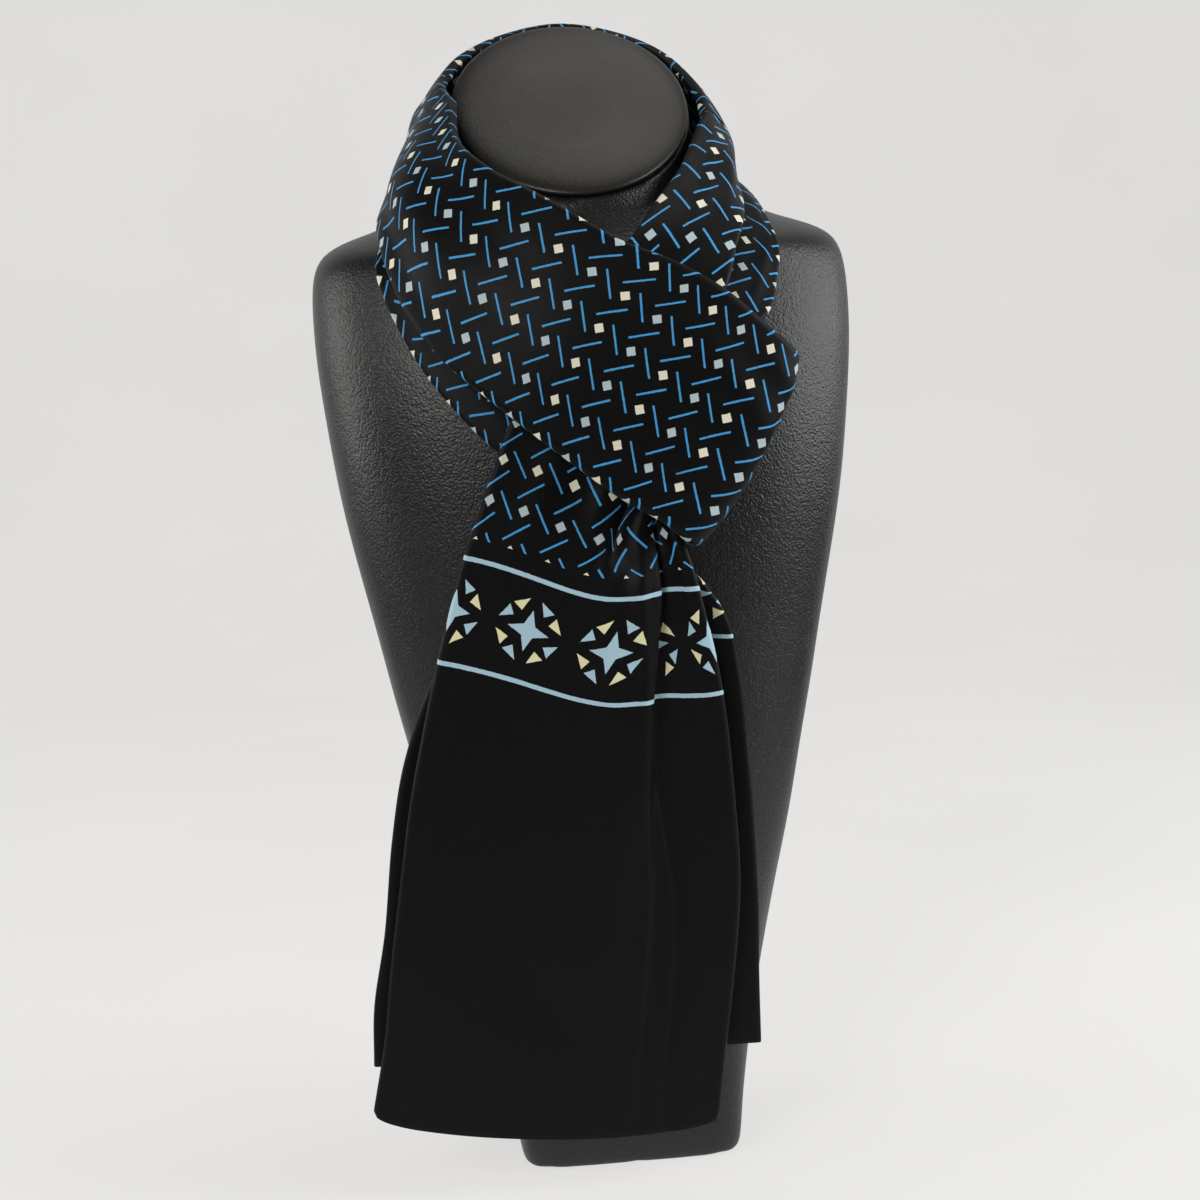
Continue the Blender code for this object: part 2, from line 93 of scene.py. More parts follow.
# The loop's other layer: from the fold across the chest, over the left shoulder to the nape
LOOP_UNDER = [
    LOOP_FRONT[-1],
    (48.0, -69.5, 377.0, 2.0, -71.0, 307.0, 0.0, -2.0, 2.2, 9.0),
    (20.0, -69.0, 388.0, -20.0, -70.0, 317.0, 0.0, 0.0, 2.2, 9.0),
    (-8.0, -67.0, 400.0, -45.0, -68.5, 330.0, 0.0, 0.0, 2.2, 9.0),
    (-28.0, -62.5, 413.0, -67.5, -62.5, 355.0, 0.0, 0.0, 2.2, 9.0),
    (-42.0, -55.0, 426.0, -80.5, -56.0, 375.5, 0.0, 0.0, 2.0, 8.0),
    (-52.0, -43.5, 437.0, -91.5, -50.0, 401.0, 0.0, 0.0, 1.5, 7.0),
    (-56.0, -28.5, 447.0, -94.0, -38.0, 418.0, 0.0, 0.0, 1.3, 6.0),
    (-58.5, -12.0, 457.5, -84.5, -12.5, 438.0, 0.0, 0.0, 1.3, 6.0),
    (-62.0, 6.0, 467.0, -80.5, 8.0, 446.0, 1.0, 0.0, 1.5, 5.0),
    (-64.0, 26.0, 472.0, -78.0, 30.0, 452.0, 1.0, 0.0, 1.6, 5.0),
    (-61.5, 44.0, 476.0, -76.0, 50.0, 457.0, 1.0, 0.0, 1.7, 5.0),
    (-50.0, 68.0, 484.0, -60.0, 75.0, 461.0, 1.0, 0.0, 2.0, 7.0),
    (-30.0, 83.0, 489.0, -35.0, 90.0, 462.0, 1.0, 0.0, 2.2, 8.0),
    (0.0, 89.0, 492.0, 0.0, 95.0, 463.0, 1.0, 0.0, 2.2, 8.0),
]

# The upper layer behind the neck, from the pinch on the left to the crease on the right
WRAP_BACK = [
    LOOP_FRONT[0],
    (-59.5, 43.0, 510.5, -78.0, 50.0, 474.0, 5.0, 0.0, 2.2, 8.0),
    (-49.0, 66.0, 525.0, -65.0, 80.0, 482.0, 6.0, 0.0, 2.6, 9.0),
    (-28.0, 82.0, 536.5, -37.0, 98.0, 487.0, 6.0, 0.0, 3.0, 10.0),
    (0.0, 88.5, 542.0, 0.0, 103.5, 489.0, 6.0, 0.0, 3.0, 10.0),
    (27.0, 84.0, 537.0, 37.0, 97.5, 486.0, 6.0, 0.0, 3.0, 10.0),
    (50.0, 69.0, 524.0, 63.0, 79.0, 479.0, 5.0, 0.0, 2.6, 9.0),
    (64.0, 46.0, 503.5, 77.0, 50.0, 469.0, 4.0, 0.0, 2.2, 8.0),
    (66.0, 22.0, 486.0, 78.0, 24.0, 462.5, 4.0, 0.0, 2.0, 7.0),
]

# From the crease down the right of the neck, under the loop's edge
NECK_UPPER = [
    WRAP_BACK[-1],
    (61.0, 4.0, 477.0, 75.5, 4.0, 456.5, 5.0, 0.0, 2.2, 7.0),
    (54.0, -15.0, 466.0, 73.0, -16.5, 448.0, 6.0, 0.0, 2.4, 8.0),
    (45.0, -35.0, 453.0, 72.0, -37.5, 436.0, 5.0, 0.0, 2.4, 9.0),
    (32.0, -56.0, 438.0, 68.0, -57.5, 426.0, 4.0, 0.0, 2.4, 9.0),
    (18.0, -75.0, 421.0, 62.0, -73.0, 414.0, 3.0, 0.0, 2.2, 9.0),
    (2.0, -86.0, 403.0, 56.0, -84.0, 398.0, 1.0, 0.0, 2.0, 9.0),
    (-10.0, -88.0, 389.0, 48.0, -87.0, 385.0, 0.0, 0.0, 1.8, 8.0, 0.62, 0.0, 0.0),
]

# From the nape over the right shoulder, under the stretch above
NECK_LOWER = [
    LOOP_UNDER[-1],
    (30.0, 83.0, 489.0, 35.0, 90.0, 462.0, 1.0, 0.0, 2.2, 8.0),
    (50.0, 68.0, 484.0, 60.0, 75.0, 461.0, 1.0, 0.0, 2.0, 7.0),
    (62.0, 46.0, 476.0, 76.0, 50.0, 456.0, 1.0, 0.0, 1.8, 6.0),
    (64.5, 24.0, 465.5, 81.0, 24.0, 449.0, 1.0, 0.0, 1.8, 6.0),
    (63.0, 2.0, 454.0, 83.0, 1.0, 442.5, 1.0, 0.0, 1.8, 6.0),
    (61.0, -18.0, 441.5, 84.0, -25.0, 431.0, 1.0, 0.0, 1.8, 6.0),
    (60.0, -37.5, 429.0, 85.5, -45.5, 415.0, 1.0, 0.0, 1.8, 6.0),
    (55.0, -55.0, 416.0, 82.0, -57.0, 400.0, 1.0, 0.0, 1.8, 6.0),
    (44.0, -71.0, 399.0, 76.0, -69.0, 386.0, 0.0, 0.0, 1.8, 6.0),
    (26.0, -79.5, 382.0, 62.0, -78.5, 373.0, 0.0, 0.0, 1.8, 7.0),
]

# The upper end, from behind the loop down to its hem, a is its left edge
TAIL_FRONT = [
    NECK_UPPER[-1],
    (-28.0, -86.5, 362.0, 38.0, -86.0, 352.0, 0.0, 1.0, 1.8, 8.0, 0.80, 2.0, 4.0, 1.0),
    (-41.0, -85.5, 341.0, 33.0, -85.5, 322.0, 0.0, 4.0, 1.8, 8.0, 0.85, 4.0, 6.0, 1.0),
    (-50.0, -87.0, 320.0, 28.0, -86.5, 298.0, 0.0, 7.5, 1.7, 6.0, 0.88, 5.0, 7.0, 1.0),
    (-57.5, -87.5, 302.0, 33.0, -87.0, 281.0, 0.0, 8.8, 1.8, 4.5, 0.86, 5.5, 7.0, 1.0),
    (-63.5, -87.0, 286.0, 37.0, -86.5, 265.0, 1.0, 9.2, 2.2, 4.5, 0.84, 6.5, 7.0, 1.0),
    (-77.0, -81.0, 243.0, 45.5, -80.0, 221.0, 2.0, 10.5, 2.4, 8.0, 0.76, 7.0, 4.0, 1.0),
    (-91.5, -75.0, 187.0, 49.5, -74.0, 170.0, 2.0, 10.0, 2.4, 10.0, 0.74, 6.0, -5.0, 0.7),
    (-99.5, -71.0, 146.0, 50.5, -70.0, 130.0, 2.0, 10.0, 2.4, 10.0, 0.74, 4.0, -10.0, 0.4),
    (-107.0, -68.5, 103.0, 46.0, -68.0, 88.0, 2.0, 10.0, 2.4, 10.0, 0.74, 2.5, -12.0, 0.2),
    (-112.0, -67.0, 70.0, 41.0, -67.0, 55.0, 2.0, 10.5, 2.4, 10.0, 0.74, 1.5, -12.0, 0.0),
    (-119.0, -66.0, 38.0, 36.5, -66.0, 24.0, 2.0, 11.5, 2.4, 10.0, 0.74, 0.8, -12.0, -0.15),
]

# The lower end, which hangs behind the upper one
TAIL_BACK = [
    NECK_LOWER[-1],
    (-6.0, -79.0, 352.0, 40.0, -79.0, 340.0, 0.0, 0.0, 1.8, 8.0),
    (-30.0, -78.5, 320.0, 23.0, -78.5, 309.0, 0.0, 0.0, 1.6, 8.0),
    (-38.0, -79.2, 305.0, 14.5, -79.2, 295.0, 0.0, 0.0, 1.3, 8.0),
    (-45.0, -77.0, 292.0, 33.5, -77.0, 276.0, 0.0, 0.0, 1.6, 8.0),
    (-60.0, -70.5, 262.0, 50.0, -70.5, 252.0, 0.0, 0.0, 1.8, 8.0),
    (-80.0, -66.0, 232.0, 55.5, -66.0, 224.0, 0.0, 0.0, 1.8, 8.0),
    (-95.0, -62.5, 196.0, 58.0, -62.5, 192.0, 0.0, 0.0, 1.8, 8.0),
    (-103.0, -61.0, 160.0, 59.5, -60.5, 158.0, 0.0, 0.0, 1.8, 8.0),
    (-109.0, -59.0, 118.0, 60.0, -59.0, 118.0, 0.0, 0.0, 1.8, 8.0),
    (-116.0, -58.0, 84.0, 59.0, -58.0, 84.0, 0.0, 0.0, 1.8, 8.0),
    (-118.0, -57.5, 56.0, 58.5, -57.5, 53.0, 0.0, 0.0, 1.8, 8.0),
]

# Name, table, the sections of its neighbours that it runs on to, and its outward side
STRETCHES = [
    ("loop_front", LOOP_FRONT, WRAP_BACK[1], LOOP_UNDER[1], 1.0),
    ("loop_under", LOOP_UNDER, LOOP_FRONT[-2], NECK_LOWER[1], -1.0),
    ("wrap_back", WRAP_BACK, LOOP_FRONT[1], NECK_UPPER[1], -1.0),
    ("neck_upper", NECK_UPPER, WRAP_BACK[-2], TAIL_FRONT[1], -1.0),
    ("neck_lower", NECK_LOWER, LOOP_UNDER[-2], TAIL_BACK[1], -1.0),
    ("tail_front", TAIL_FRONT, NECK_UPPER[-2], None, -1.0),
    ("tail_back", TAIL_BACK, NECK_LOWER[-2], None, -1.0),
]

# Where the print lies on each stretch, as (mm along its middle, mm along the printed lattice, mm
# across the lattice at the b edge, how far its rows are bowed by the pull of the cloth, and the mm
# across at the a edge where a pleat hides the rest). Whole pitches are cream rows and grey rows in
# turn
PRINT_MARKS = {
    "loop_front": [
        (0.0, -11.0, 22.0, 0.0),
        (95.6, -105.0, 8.5, 0.0),
        (134.5, -140.0, 0.0, 0.5),
        (170.0, -175.0, -4.0, 3.5),
        (203.5, -210.0, -5.0, 8.5),
        (233.5, -245.0, -5.0, 7.5),
        (262.4, -280.0, -3.5, 5.0),
        (316.0, -334.0, -3.5, 0.0),
    ],
    "loop_under": [
        (0.0, -2.0, -2.3, 0.0),
        (89.3, 87.5, -2.3, 0.0),
        (141.5, 157.5, -2.3, 0.0),
        (346.0, 362.0, -2.3, 0.0),
    ],
    "wrap_back": [(0.0, -11.0, 22.0, 0.0), (110.0, 105.0, 10.0, 0.0), (237.5, 245.0, 0.0, 0.0)],
    "neck_upper": [
        (0.0, 245.0, 0.0, 0.0),
        (65.0, 294.0, -5.0, 0.0),
        (94.0, 314.0, -6.0, 0.0),
        (156.0, 359.0, -6.5, 0.0),
    ],
    "neck_lower": [(0.0, 362.0, -2.3, 0.0), (120.0, 482.0, -2.3, 0.0), (250.0, 612.0, -2.3, 0.0)],
    "tail_front": [
        (0.0, -110.0, -12.0, 0.0, 142.0),
        (117.0, 7.1, -12.0, 0.0, 142.0),
        (163.0, 53.0, -12.0, 0.0, 142.0),
        (371.0, 261.0, -12.0, 0.0, 142.0),
    ],
    "tail_back": [
        (0.0, -98.0, 19.2, 0.0),
        (105.0, 7.1, 19.2, 0.0),
        (151.0, 53.0, 19.2, 0.0),
        (346.0, 248.0, 19.2, 0.0),
    ],
}

# Soft creases of each stretch: two ends, each as a part of the width and a row of the table, the
# reach to each side and the height in mm (less than nothing for a trough), and how much of the
# print a deep one draws out of sight
CREASE_COLUMNS = "across0 along0 across1 along1 reach height drawn".split()
CREASES = {
    "loop_front": [
        (0.15, 2.0, 0.35, 8.0, 7.0, -1.2),
        (0.55, 3.0, 0.62, 9.0, 9.0, 1.0),
        (0.80, 1.0, 0.86, 7.0, 6.0, -1.2),
        (0.30, 9.0, 0.75, 13.5, 9.0, -0.8),
        (0.20, 10.5, 0.45, 14.0, 6.0, 0.7),
        (0.86, 9.0, 0.80, 13.5, 6.0, -1.3),
        (0.10, 12.0, 0.22, 15.0, 5.0, 0.8),
    ],
    "loop_under": [
        (0.70, 2.0, 0.62, 7.0, 5.0, -1.0),
        (0.85, 3.0, 0.80, 8.0, 4.0, 0.8),
        (0.40, 9.0, 0.55, 14.0, 4.0, -0.8),
    ],
    "wrap_back": [
        (0.30, 0.3, 0.38, 5.0, 5.0, -1.6),
        (0.62, 1.5, 0.58, 7.6, 5.0, -1.4),
        (0.85, 0.5, 0.80, 5.5, 4.0, 1.0),
        (0.15, 3.0, 0.12, 7.5, 4.0, 0.8),
    ],
    "neck_upper": [
        (0.35, 0.0, 0.55, 5.0, 4.0, -1.4),
        (0.70, 0.5, 0.75, 4.0, 3.0, 0.9),
    ],
    "neck_lower": [
        (0.45, 2.0, 0.55, 8.0, 4.0, -1.2),
        (0.80, 4.0, 0.75, 9.0, 3.0, 0.8),
    ],
    "tail_front": [
        (0.86, 1.6, 0.60, 4.3, 4.0, -5.0, 12.0),
        (0.82, 2.6, 0.71, 7.0, 4.5, 2.6),
        (0.66, 1.0, 0.58, 3.4, 5.0, 1.4),
        (0.92, 1.6, 0.93, 3.6, 3.0, -2.0),
        (0.35, 1.2, 0.20, 5.0, 8.0, 0.8),
        (0.66, 4.4, 0.60, 9.0, 11.0, 2.6),
        (0.30, 5.5, 0.42, 10.5, 16.0, -1.8),
        (0.88, 5.0, 0.90, 11.0, 5.0, 1.2),
        (0.10, 6.0, 0.10, 11.0, 9.0, 1.4),
        (0.20, 8.4, 0.62, 9.6, 14.0, -1.2),
    ],
    "tail_back": [
        (0.15, 5.0, 0.12, 11.0, 8.0, 1.0),
        (0.90, 4.5, 0.92, 9.0, 4.0, -1.2),
        (0.50, 5.0, 0.48, 11.0, 12.0, -1.0),
    ],
}

CREASE_END = 0.08         # part of its height that a crease keeps at its ends
CREASE_FADE = 3           # reaches, past which a crease is nothing
DRAWN_EDGE = 1.5          # how sharply the print sinks into a crease that draws it in

# ---- The print, mm ----

PRINT_PITCH = 17.5        # between squares, along and across the scarf
SQUARE_SIDE = 3.75
DASH_LENGTH = 13.3
DASH_WIDTH = 0.9
PRINT_END = -1.4          # the lattice is cut off here, counted along the scarf from its last row
LINE_UPPER = 7.1          # middle of the border's upper line, counted the same way
LINE_LOWER = 53.0
LINE_WIDTH = 2.0
STAR_PITCH = 36.9
STAR_SHIFT = 6.2          # from a line of squares to the middle of a star
PLEAT_GATHER = 0.07       # for each mm of the pleat's depth, extra cloth gathered beside it
EDGE_GATHER = 5.0         # extra print drawn round the a edge, and how far from it this reaches
EDGE_REACH = 12.0
PLEAT_RISE = 3.0          # how much the print is lifted at the pleat's lip, and how far away
PLEAT_REACH = 20.0
BOW_MIDDLE = 0.9          # pitches from the print's zero to where a bowed row stands out most
BOW_FALL = 0.09
STAR_TIP = 9.4
STAR_NOTCH = 3.6
RAY_TIP = 14.4            # sharp outer end of a triangle of the ring, and its other two corners
RAY_SIDE = 14.0
RAY_FOOT = 9.4

SATIN_BLACK = "#080809"
CREAM = "#ece7d1"
CREAM_RAY = "#ebe4b6"
BLUE_GREY = "#bacacf"
DASH_BLUE = "#4b9ed8"
BORDER_BLUE = "#aecedc"


def linear(colour):
    """An sRGB hex colour as linear red, green, blue and one."""
    parts = [int(colour[place:place + 2], 16) / 255 for place in (1, 3, 5)]
    return tuple(p / 12.92 if p < 0.04045 else ((p + 0.055) / 1.055) ** 2.4 for p in parts) + (1.0,)


def add(tree, kind, links=None, **settings):
    """Add one node with its settings, and its inputs linked or set."""
    node = tree.nodes.new("ShaderNode" + kind)
    for name, value in settings.items():
        setattr(node, name, value)
    for place, value in (links or {}).items():
        if isinstance(value, bpy.types.NodeSocket):
            tree.links.new(value, node.inputs[place])
        else:
            node.inputs[place].default_value = value
    return node


def new_material(name):
    """A material with its nodes, and the shader among them."""
    material = bpy.data.materials.new(name)
    material.use_nodes = True
    return material, material.node_tree, material.node_tree.nodes["Principled BSDF"]


# ---- The scarf's mesh ----

def between(rows, where):
    """One section between the rows of a table, on a smooth curve through them."""
    index = min(int(where), len(rows) - 3)
    part = where - index
    section = {}
    for column, p, q, r, s in zip(CLOTH_COLUMNS, *rows[index - 1:index + 3]):
        bend = 2 * p - 5 * q + 4 * r - s
        twist = 3 * q - p - 3 * r + s
        section[column] = q + 0.5 * part * (r - p + part * (bend + part * twist))
    return section


def run_on(end, inner):
    """The section that a free end would reach if it went on straight."""
    return tuple(2 * here - there for here, there in zip(end, inner))


def edges(section):
    """The a edge and the b edge of a section."""
    near = Vector((section["ax"], section["ay"], section["az"]))
    far = Vector((section["bx"], section["by"], section["bz"]))
    return near, far


def rounded(path, rounds):
    """A line of points with its corners cut again and again until it runs smooth."""
    for _ in range(rounds):
        cut = [path[0]]
        for (u0, d0), (u1, d1) in zip(path, path[1:]):
            cut.append((u0 * 0.75 + u1 * 0.25, d0 * 0.75 + d1 * 0.25))
            cut.append((u0 * 0.25 + u1 * 0.75, d0 * 0.25 + d1 * 0.75))
        path = cut + [path[-1]]
    return path


def spaced(path, count):
    """Points at even distances along a line, each with its distance from the start."""
    reach = [0.0]
    for (u0, d0), (u1, d1) in zip(path, path[1:]):
        reach.append(reach[-1] + sqrt((u1 - u0) ** 2 + (d1 - d0) ** 2))
    points = []
    step = 0
    for index in range(count):
        goal = reach[-1] * index / (count - 1)
        while step < len(path) - 2 and reach[step + 1] < goal:
            step += 1
        part = (goal - reach[step]) / max(reach[step + 1] - reach[step], 1e-9)
        (u0, d0), (u1, d1) = path[step], path[step + 1]
        points.append((u0 + (u1 - u0) * part, d0 + (d1 - d0) * part, goal))
    return points


def section_path(section, width):
    """The cloth across one section: turned edge, front with its pleat, turned edge."""
    roll = section["roll"]
    turn = max(min(section["turn"], 0.4 * width), roll + 0.5)
    place = section["place"] * width
    depth = section["depth"]
    tuck = section["tuck"]
    grip = min(max(tuck, 0.0) / 4, 1.0)
    rest = width - roll - place
    front = [(0.5 * width, 0.0)] if depth < PLAIN_DEPTH else [
        (place * 0.5, 0.0),
        (place - 6.0, 0.0),
        (place - 1.0, 0.2 * grip),
        (place + 0.5 * grip, -0.25 * depth),
        (place - 0.5 * grip, -0.5 * depth),
        (place - tuck, -0.55 * depth),
        (place - tuck - 0.8 * grip, -0.8 * depth),
        (place - tuck, -depth),
        (place + 0.15 * rest - min(tuck, 0.0), -depth),
        (place + 0.6 * rest, -0.5 * depth),
        (place + 0.85 * rest, 0.0),
    ]
    path = [(turn, -2 * roll), (roll + EDGE_BEND, -2 * roll), (0.0, -2 * roll)]
    path += [(-0.1 * roll, -roll), (0.0, 0.0), (roll + EDGE_BEND, 0.0)]
    path += [*front, (width - roll - EDGE_BEND, 0.0)]
    path += [(width, 0.0), (width + 0.1 * roll, -roll), (width, -2 * roll)]
    path += [(width - roll - EDGE_BEND, -2 * roll), (width - turn, -2 * roll)]
    return rounded(path, CORNER_ROUNDS)


def creased(name, across, along, width, row_length):
    """How far the soft creases lift or sink one point, and how much print they have drawn in."""
    lift = 0.0
    hidden = 0.0
    for row in CREASES[name]:
        crease = dict(zip(CREASE_COLUMNS, row))
        start = Vector((crease["across0"] * width, crease["along0"] * row_length))
        run = Vector((crease["across1"] * width, crease["along1"] * row_length)) - start
        here = Vector((across * width, along * row_length)) - start
        part = min(max(here.dot(run) / run.length_squared, 0.0), 1.0)
        apart = (here - run * part).length / crease["reach"]
        if apart < CREASE_FADE:
            strength = sin(pi * (CREASE_END + (1 - 2 * CREASE_END) * part))
            lift += crease["height"] * strength * exp(-apart * apart)
        if "drawn" in crease:
            side = run.normalized().cross(here) / crease["reach"]
            hidden += crease["drawn"] * sin(pi * part) * (0.5 - 0.5 * tanh(DRAWN_EDGE * side))
    return lift, hidden


def print_place(marks, reach):
    """The print's place at a distance along a stretch, smooth between its marks."""
    index = 0
    while index < len(marks) - 2 and reach > marks[index + 1][0]:
        index += 1
    start, end = marks[index], marks[index + 1]
    before = marks[max(index - 1, 0)]
    after = marks[min(index + 2, len(marks) - 1)]
    span = end[0] - start[0]
    part = (reach - start[0]) / span
    place = []
    for column in range(1, len(start)):
        leave = (end[column] - before[column]) / (end[0] - before[0]) * span
        arrive = (after[column] - start[column]) / (after[0] - start[0]) * span
        rise = end[column] - start[column]
        ease = part * part * (3 - 2 * part)
        swing = part * (1 - part) * ((1 - part) * leave - part * arrive)
        place.append(start[column] + rise * ease + swing)
    return place


def stations(rows, last):
    """Even distances along a stretch, each with its place in the table, and the whole length."""
    middles = [sum(edges(between(rows, 1 + step / STEPS_PER_ROW)), Vector()) / 2
               for step in range(last * STEPS_PER_ROW + 1)]
    reach = [0.0]
    for here, there in zip(middles, middles[1:]):
        reach.append(reach[-1] + (there - here).length)
    length = reach[-1]
    count = int(length / ALONG_SPACING) + 2
    found = []
    step = 0
    for index in range(count):
        goal = length * index / (count - 1)
        while step < len(reach) - 2 and reach[step + 1] < goal:
            step += 1
        part = (goal - reach[step]) / (reach[step + 1] - reach[step])
        found.append((goal, (step + part) / STEPS_PER_ROW))
    return found, length


def across_print(section, width, total, lip, run, hidden, at_far, at_near):
    """The print's place across at one point of a section, and how much a pleat lifts it there.
    It is counted from the b edge, and from both edges where a pleat hides what lies between."""
    from_far = total - section["turn"] - run
    past_pleat = (1 - section["place"]) * width
    place = at_far + from_far + PLEAT_GATHER * section["depth"] * min(from_far, past_pleat)
    if not at_near:
        return place, 0.0
    folded = 2 * max(section["tuck"], 2) + section["depth"]
    beyond = min(max((run - lip) / folded, 0.0), 1.0)
    beyond = beyond * beyond * (3 - 2 * beyond)
    from_near = run - section["turn"]
    gathered = EDGE_GATHER * exp(-max(from_near, 0) / EDGE_REACH)
    near_place = at_near[0] + gathered - from_near - hidden
    apart = max(lip - run, run - lip - folded, 0) / PLEAT_REACH
    return near_place + (place - near_place) * beyond, PLEAT_RISE * exp(-apart * apart)


def build_cloth(name, rows, before, after, side, material):
    """Loft one stretch of the scarf through its sections, with its print's place as a UV map."""
    last = len(rows) - 1
    rows = [before, *rows, after or run_on(rows[-1], rows[-2])]
    rows = [row + (0.0,) * (len(CLOTH_COLUMNS) - len(row)) for row in rows]
    found, length = stations(rows, last)
    points = []
    places = []
    widths = []
    for distance, row in found:
        section = between(rows, 1 + row)
        near, far = edges(section)
        back = edges(between(rows, max(1 + row - STEP, 1)))
        front = edges(between(rows, min(1 + row + STEP, len(rows) - 2)))
        onward = (front[0] + front[1] - back[0] - back[1]).normalized()
        width = (far - near).length
        across = (far - near).normalized()
        outward = (across.cross(onward) * side).normalized()
        down = Vector((0, 1, 0)).cross(across)
        along, at_far, bow, *at_near = print_place(PRINT_MARKS[name], distance)
        line = spaced(section_path(section, width), ACROSS_POINTS)
        total = line[-1][2]
        widths.append(total)
        lip = next(run for u, d, run in line if u > section["place"] * width - 0.5)
        shift = 1 + LEAN_SHIFT * max(section["lean"], 0)
        power = SAG_POWER + LEAN_POWER * section["lean"]
        for u, d, run in line:
            part = min(max(u / width, 0.0), 1.0)
            swell = section["crown"] * sin(pi * part)
            low = down * section["sag"] * max(sin(pi * part ** shift), 0) ** power
            lift, hidden = creased(name, part, row, width, length / last)
            points.append(near + across * u + outward * (d + swell + lift) + low)
            place, rise = across_print(section, width, total, lip, run, hidden, at_far, at_near)
            bowed = bow * (1 - BOW_FALL * (place / PRINT_PITCH - BOW_MIDDLE) ** 2)
            places.append((place, along - bowed + rise))
    faces = []
    for level in range(len(found) - 1):
        for index in range(ACROSS_POINTS - 1):
            corner = level * ACROSS_POINTS + index
            face = (corner, corner + 1, corner + ACROSS_POINTS + 1, corner + ACROSS_POINTS)
            faces.append(face if side < 0 else face[::-1])
    mesh = bpy.data.meshes.new("scarf_" + name)
    base = Vector((0, 0, HEIGHT_ZERO))
    mesh.from_pydata([(point + base) * MM for point in points], [], faces)
    layer = mesh.uv_layers.new(name="flat_cloth")
    for loop in mesh.loops:
        across_mm, along_mm = places[loop.vertex_index]
        layer.data[loop.index].uv = (across_mm * MM, along_mm * MM)
    for face in mesh.polygons:
        face.use_smooth = True
    mesh.materials.append(material)
    piece = bpy.data.objects.new("scarf_" + name, mesh)
    bpy.context.scene.collection.objects.link(piece)
    wall = piece.modifiers.new("cloth", "SOLIDIFY")
    wall.thickness = CLOTH_THICKNESS * MM
    wall.offset = 0
    return piece, sum(widths) / len(widths) * MM, length * MM


# ---- Materials ----

